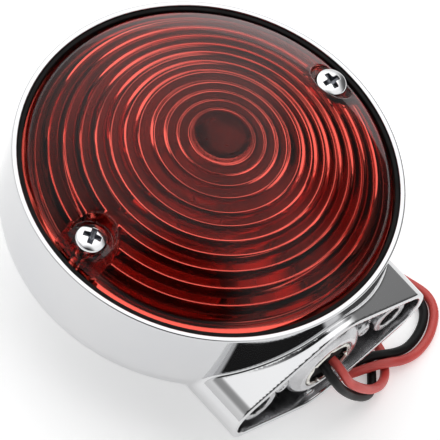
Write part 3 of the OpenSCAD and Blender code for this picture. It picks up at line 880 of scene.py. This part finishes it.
def screw_shape(turn, side):
    """Pan head on a threaded shank; its cross recess is turned by turn degrees."""
    ct, st = math.cos(math.radians(turn)), math.sin(math.radians(turn))

    def shape(x, y, z):
        x = x - side * SCREW_X
        q, h = np.hypot(x, y), z - POCKET_Z
        crown = np.hypot(q, h + CROWN_DROP) - CROWN_R
        head = both(both(crown, q - HEAD_R, 0.4), -h, 0.12)
        head = minus(head, recess_shape(q, x * ct + y * st, -x * st + y * ct, h), 0.1)
        pitch, depth = 0.8, 0.35
        ridge = np.abs(((z / pitch - np.arctan2(y, x) / (2 * math.pi)) % 1.0) - 0.5) * 2
        shank = both(q - SHANK_R + depth * ridge * (z < THREAD_TOP_Z), SHANK_END_Z - z, 0.2)
        return union(head, both(shank, h), 0.1)

    return shape


def make_screw(name, side, turn, detail):
    """Screw on side -1 or 1 of the lens; only its recess is dark, with painted shade."""
    r = HEAD_R + 0.2
    x = spread((side * SCREW_X - r, 0.11 * detail), side * SCREW_X + r)
    y = spread((-r, 0.11 * detail), r)
    z = spread((21.8, 0.13 * detail), (POCKET_Z - 0.2, 0.08 * detail), POCKET_Z + 2.6)
    points, faces, normals = net(screw_shape(turn, side), (x, y, z), plain)
    node = "lens_screw_left" if side < 0 else "lens_screw_right"
    made = dress(add_mesh(name, points, faces, normals), node, "chrome_screw", node)
    made.data.materials.append(FINISH["screw_recess_painted_shade"])
    x, y, z = middles(points, faces)
    q, h = np.hypot(x - side * SCREW_X, y), z - POCKET_Z
    # Faces down in the cross recess, which take the painted shade
    recess_shade_faces = (h > 0.2) & (q < 2.3) & (np.hypot(q, h + CROWN_DROP) < CROWN_R - 0.1)
    number_faces(made, recess_shade_faces)
    return made


# ---------------------------------------------------------------- socket
def ring_shape(x, y, z):
    """Flared and crimped ring that holds the plug in the boss's front hole."""
    q, h = np.hypot(x, z - FOOT_Z), -y
    a = np.arctan2(z - FOOT_Z, x)
    crimp = np.maximum(0, np.cos(7 * a + 0.6)) ** 6
    sleeve = both(np.abs(q - 5.85 + 0.25 * crimp) - 0.3, h - RING_FRONT + 0.25 + 0.35 * crimp, 0.2)
    roll = np.hypot(q - 5.72 + 0.3 * crimp, h - RING_FRONT + 0.42 + 0.35 * crimp) - 0.42
    return both(union(sleeve, roll, 0.2), SOCKET_END + 0.05 - h)


def grommet_shape(x, y, z):
    """Rubber plug with a neck and two holes for the leads."""
    q, h = np.hypot(x, z - FOOT_Z), -y
    plug = both(both(q - 7.7, GROMMET_FRONT - h, 0.2), h - SOCKET_END, 0.2)
    neck = both(both(q - GROMMET_NECK_R, GROMMET_FRONT - h), h - RING_FRONT + 1.1, 0.5)
    made = union(plug, neck, 0.3)
    for hx, hz in LEAD_HOLES:
        made = minus(made, np.hypot(x - hx, z - hz) - LEAD_HOLE_R, 0.3)
    return made


def make_socket(detail):
    """Crimped ring, rubber plug, sleeve, contacts, spring and the leads' ends inside."""
    area = spread((-8.4, 0.16 * detail), 8.4)
    height = spread((FOOT_Z - 8.4, 0.16 * detail), FOOT_Z + 8.4)
    rings = net(ring_shape, (area, spread((-45.0, 0.13 * detail), -42.7), height), plain)
    dress(add_mesh("crimp_ring", *rings), "housing", "plated_steel", "socket_ring")
    plug = net(grommet_shape, (area, spread((-44.2, 0.18 * detail), -40.8), height), plain)
    dress(add_mesh("lead_grommet", *plug), "housing", "black_rubber", "socket_grommet")
    for node, slot in (("socket_shell", "plated_steel"), ("contact_carrier", "brown_fibre"),
                       ("contact_plungers", "brass")):
        carried(node, slot)
    make_spring()
    for side, color, (hx, hz) in zip((1, -1), ("red", "black"), LEAD_HOLES):
        points = [(side * 3.6, -35.95, FOOT_Z), (side * 3.7, -37, FOOT_Z),
                  (side * 3.3, -38.6, FOOT_Z + side * 0.8), (hx + side * 0.2, -39.9, hz + 0.3),
                  (hx, -41.0, hz)]
        made = tube_mesh("inner_lead_" + color, smooth(points, 5), 0.9)
        nodes = ("inner_leads",) if side > 0 else ()
        dress(made, "housing", color + "_insulation", *nodes)
        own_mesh(made)


def carried(node, slot):
    """A CAD node that shows as it is, with its finish."""
    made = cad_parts[node]
    made.data.materials.clear()
    made.data.materials.append(FINISH[slot])
    made.data.shade_smooth()
    made.data.set_sharp_from_angle(angle=math.radians(30))


def make_spring():
    """Coil spring behind the contacts; its turns lie closer at both ends."""
    steps, turns, low, high = 24, 4.5, -40.6, -36.3
    coil_r, wire_r = 6.2, 0.32
    path = []
    for i in range(int(turns * steps) + 1):
        t = i / (turns * steps)
        climb = np.interp(t, [0, 0.16, 0.84, 1], [0, 0.1, 0.9, 1])
        a = 2 * math.pi * turns * t
        path.append((coil_r * math.cos(a), low + (high - low) * climb, FOOT_Z + coil_r * math.sin(a)))
    made = tube_mesh("contact_spring", path, wire_r, 10)
    dress(made, "housing", "plated_steel", "socket_spring")
    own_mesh(made)


# ---------------------------------------------------------------- bulb
def make_bulb():
    """Globe, cap, black glass base, two solder contacts, pins and what is inside the globe."""
    neck, globe, centre, thick = 6.8, 13.2, -4.6, 0.8
    lean = math.degrees(math.asin(neck / globe))
    outside = [*arc((0, centre), globe, -90, 90 - lean - 6, 30), (neck + 0.25, 8.4),
               (neck, 10.2), (neck, 18.5)]
    inside = [(neck - thick, 18.5), (neck - thick, 10.2), (neck - thick + 0.25, 8.0),
              *arc((0, centre), globe - thick, 90 - lean - 7, -90, 30)]
    glass = lathe("bulb_globe", [*outside, *inside], turns=72, along="foot", loop=False)
    dress(glass, "bulb", "clear_glass", "bulb_glass")
    cap = [(7.2, 16.6), *arc((7.3, 16.75), 0.25, 180, 360, 5), (7.6, 17.2), (7.6, 18.6), (7.45, 18.9),
           (7.45, 19.3), (7.6, 19.6), (7.6, 30.2), (7.4, 30.7), (7.1, 30.8), (7.1, 30.5), (7.2, 30.2)]
    dress(lathe("bulb_cap_shell", cap, 96, "foot"), "bulb", "brass", "bulb_cap")
    disc = [(0, 29.7), (7.1, 29.7), (7.1, 31.2), (6.6, 31.7), (5, 31.95), (0, 32)]
    dress(lathe("bulb_base_glass", disc, 96, "foot", loop=False), "bulb", "black_glass", "bulb_insulator")
    for side, name in ((-1, "left"), (1, "right")):
        blob = [(0, 31.95), (1.6, 31.95), (1.6, 32.25), (1.35, 32.7), (0.8, 32.95), (0, 33)]
        made = lathe("bulb_contact_" + name, blob, 40, "foot", x=side * 3.6, loop=False)
        dress(made, "bulb", "solder", *(("bulb_contacts",) if side < 0 else ()))
    carried("bulb_pins", "brass")
    make_filaments()


def make_filaments():
    """Glass stem with a flattened pinch, four supports and two coiled filaments."""
    stem = [(0, 8.2), (1.1, 8.5), (1.5, 9.6), (1.4, 12.5), (2.2, 14.5), (2.6, 17), (2.6, 19.4), (0, 19.4)]
    made = lathe("bulb_stem_glass", stem, 48, "foot", loop=False)
    pinch_start, pinch_long, pinch, widening = 0.0145, 0.004, 0.45, 0.9
    for v in made.data.vertices:
        flat = 1 - pinch * max(0.0, min(1.0, (v.co.y + pinch_start) / pinch_long))
        v.co.z = FOOT_Z * MM + (v.co.z - FOOT_Z * MM) * flat
        v.co.x *= 1 + (1 - flat) * widening
    dress(made, "bulb", "clear_glass", "bulb_stem")
    steps, coil_r, arch, turn = 130, 0.28, 0.6, 0.8
    for number, (side, y) in enumerate(((1, 2.2), (-1, -0.2))):
        left, right = side * 2.8 - 1.9, side * 2.8 + 1.9
        coil = []
        for i in range(steps + 1):
            middle = FOOT_Z + arch * math.sin(math.pi * i / steps)
            coil.append((left + (right - left) * i / steps, y + coil_r * math.cos(i * turn),
                         middle + coil_r * math.sin(i * turn)))
        wire = tube_mesh(f"bulb_filament_{number}", coil, 0.07, 6)
        dress(wire, "bulb", "tungsten", *(("bulb_filaments",) if number == 0 else ()))
        for end, x in (("a", left), ("b", right)):
            points = [(x * 0.25, -13.5, FOOT_Z), (x * 0.3, -9, FOOT_Z), (x * 0.7, -6, FOOT_Z),
                      (x, -4, FOOT_Z), (x, y + 0.2, FOOT_Z)]
            post = tube_mesh(f"bulb_support_{number}{end}", smooth(points, 4), 0.2, 8)
            dress(post, "bulb", "tungsten")


# ---------------------------------------------------------------- terminals and tie
def make_terminal(name, at, turn, node):
    """Brass bullet: a barrel with two crimp grooves, pressed a little flat, a stop collar and a
    grooved nose."""
    profile = [(0, 0), (1.35, 0), *arc((1.3, 0.2), 0.2, -90, 0, 3), (1.5, 1.6), (1.36, 1.9), (1.36, 2.3),
               (1.5, 2.6), (1.5, 3.7), (1.36, 4.0), (1.36, 4.4), (1.5, 4.7), (1.5, 5), (1.9, 5.1),
               (1.9, 6.1), (1.6, 6.25), (1.6, 9.4), (1.42, 9.7), (1.42, 10.1), (1.6, 10.4),
               *arc((0, 11.4), 1.6, 0, 90, 8)]
    made = lathe(name, profile, 40, loop=False)
    barrel_start, barrel_end, flatness = 0.0004, 0.0048, 0.86
    squeeze = np.array([v.co for v in made.data.vertices])
    pressed = (squeeze[:, 2] < barrel_end) & (squeeze[:, 2] > barrel_start)
    squeeze[pressed, 0] *= flatness
    made.data.vertices.foreach_set("co", squeeze.astype(np.float32).ravel())
    turn_round = Matrix.Rotation(math.radians(turn), 4, "Z") @ Matrix.Rotation(math.radians(-90), 4, "X")
    made.data.transform(Matrix.Translation(Vector(at) * MM) @ turn_round)
    made.data.update()
    return dress(made, "housing", "brass", node)


def tie_shape(x, y, z):
    """Strap that hugs the four runs of lead, with its ratchet head and a short trimmed end."""
    mid, half, low, high = TIE_X, 2.35, 0.0, 5.45
    corner_r, thick, wide = 0.9, 0.22, 1.2
    y = y - COIL_C[1]
    cx, cz = np.abs(x - mid) - half + corner_r, np.abs(z - (low + high) / 2) - (high - low) / 2 + 1.35
    loop = np.hypot(np.maximum(cx, 0), np.maximum(cz, 0)) + np.minimum(np.maximum(cx, cz), 0) - corner_r
    band = both(both(np.abs(loop - 0.2) - thick, np.abs(y) - wide, 0.12), -z)
    head = block(x, y, z, (mid + half + 0.4, -1.8, 0.9), (mid + half + 2.7, 1.8, 4.7), 0.45)
    slot = block(x, y, z, (mid + half + 1.0, -1.2, 0), (mid + half + 1.75, 1.2, 6), 0.1)
    tail = block(x, y, z, (mid + half + 1.15, -1.1, 2.0), (mid + half + 1.6, 1.1, 6.4), 0.1)
    return union(union(band, minus(head, slot, 0.1), 0.15), tail)


def make_tie(detail):
    x = spread((TIE_X - 3.4, 0.14 * detail), TIE_X + 5.4)
    y = spread((COIL_C[1] - 2.1, 0.16 * detail), COIL_C[1] + 2.1)
    z = spread((-0.1, 0.14 * detail), 6.8)
    points, faces, normals = net(tie_shape, (x, y, z), plain)
    return dress(add_mesh("lead_tie", points, faces, normals), "housing", "nylon", "cable_tie")


# ---------------------------------------------------------------- floor and light
def make_floor():
    """A wide white disc just under the lamp; its sizes are in metres."""
    radius, drop, sides = 3.5, 0.0001, 96
    around = np.linspace(0, 2 * math.pi, sides, endpoint=False)
    ring = [(radius * math.cos(a), radius * math.sin(a), -drop) for a in around]
    mesh = bpy.data.meshes.new("floor")
    mesh.from_pydata(ring, [], [list(range(sides))])
    floor = bpy.data.objects.new("floor", mesh)
    bpy.context.scene.collection.objects.link(floor)
    mesh.materials.append(floor_paper().material)


# Dark flags of the studio: direction, angles to the edge's start and end, and the light each one leaves
FLAGS = (
    ((-0.52, -0.38, 0.77), 20, 36, 0.02),
    ((0.95, -0.27, 0.2), 20, 45, 0.12),
    ((-0.62, 0.28, 0.735), 4, 22, 0.36),
)


def make_sky():
    """Soft studio dome: a white overhead panel, a pale surround and a few dark flags."""
    world = bpy.data.worlds.new("studio")
    bpy.context.scene.world = world
    world.use_nodes = True
    nodes, links = world.node_tree.nodes, world.node_tree.links
    way = nodes.new("ShaderNodeTexCoord").outputs["Generated"]

    def patch(direction, inner, outer, low, high):
        """Light that goes from high within inner degrees of a direction to low past outer degrees."""
        dot = nodes.new("ShaderNodeVectorMath")
        dot.operation = "DOT_PRODUCT"
        dot.inputs[1].default_value = Vector(direction).normalized()
        links.new(way, dot.inputs[0])
        node = nodes.new("ShaderNodeMapRange")
        node.interpolation_type = "SMOOTHSTEP"
        edge, full = math.cos(math.radians(outer)), math.cos(math.radians(inner))
        for socket, x in zip(RANGE_SOCKETS, (edge, full, low, high)):
            node.inputs[socket].default_value = x
        links.new(dot.outputs["Value"], node.inputs["Value"])
        return node.outputs["Result"]

    def joined(operation, a, b):
        node = nodes.new("ShaderNodeMath")
        node.operation = operation
        links.new(a, node.inputs[0])
        links.new(b, node.inputs[1])
        return node.outputs[0]

    light = patch((0, 0, 1), inner=10, outer=85, low=0.85, high=1.15)
    light = joined("ADD", light, patch((0.35, 0.45, 0.8), inner=25, outer=50, low=0, high=0.6))
    for direction, inner, outer, left in FLAGS:
        light = joined("MULTIPLY", light, patch(direction, inner, outer, low=1, high=left))
    back = nodes["Background"]
    links.new(light, back.inputs["Strength"])
    back.inputs["Color"].default_value = (1, 1, 1, 1)


# ---------------------------------------------------------------- build
DETAIL = 1.0
bpy.context.scene.view_settings.view_transform = "Standard"

red_path = lead_path(RED_ROUTE, RED_COIL_R, RED_TAIL)
black_path = lead_path(BLACK_ROUTE, BLACK_COIL_R, BLACK_TAIL)
red_lead = tube_mesh("red_lead", red_path, LEAD_R, 16)
dress(red_lead, "housing", "red_insulation", "red_wire", "lead_coil")
black_lead = tube_mesh("black_lead", black_path, LEAD_R, 16)
dress(black_lead, "housing", "black_insulation", "black_wire")
red_end = make_terminal("red_bullet", RED_TAIL[-1], 8, "red_terminal")
black_end = make_terminal("black_bullet", BLACK_TAIL[-1], 22, "black_terminal")
tie = make_tie(DETAIL)

make_camera()
make_housing(DETAIL)
make_lens(DETAIL)
make_gasket()
make_screw("screw_left", side=-1, turn=30, detail=DETAIL)
make_screw("screw_right", side=1, turn=-7, detail=DETAIL)
make_socket(DETAIL)
make_bulb()
make_floor()
make_sky()
